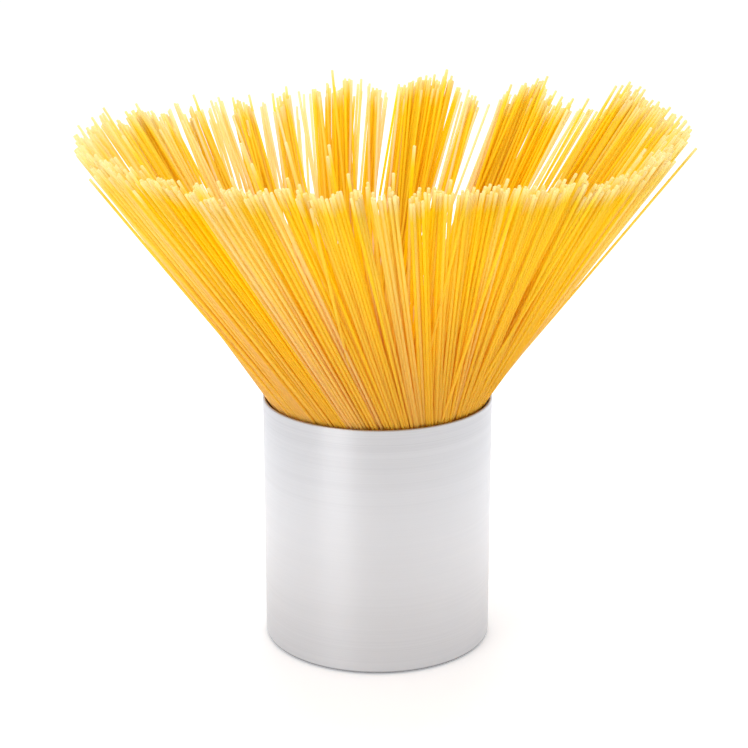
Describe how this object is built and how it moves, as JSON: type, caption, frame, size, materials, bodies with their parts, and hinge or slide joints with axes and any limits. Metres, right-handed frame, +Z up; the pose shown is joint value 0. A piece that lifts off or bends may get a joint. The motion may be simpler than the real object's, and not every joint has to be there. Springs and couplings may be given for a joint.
{
  "type": "bundle of dry angel hair pasta in a steel pot",
  "caption": "Dry angel hair pasta standing in a cylindrical steel pot, fanned out above the rim in a hollow ring.",
  "frame": {"origin": "middle of the pot's underside", "axes": "+Z up along the pot's axis, -Y towards the side shown in the picture"},
  "size_m": [0.244, 0.2436, 0.2266],
  "materials": {
    "steel": "fine brushed, satin",
    "pasta": "matte, slightly translucent dry dough"
  },
  "bodies": {
    "root": {"pot": "steel", "pasta_bundle": "pasta"}
  },
  "joints": []
}
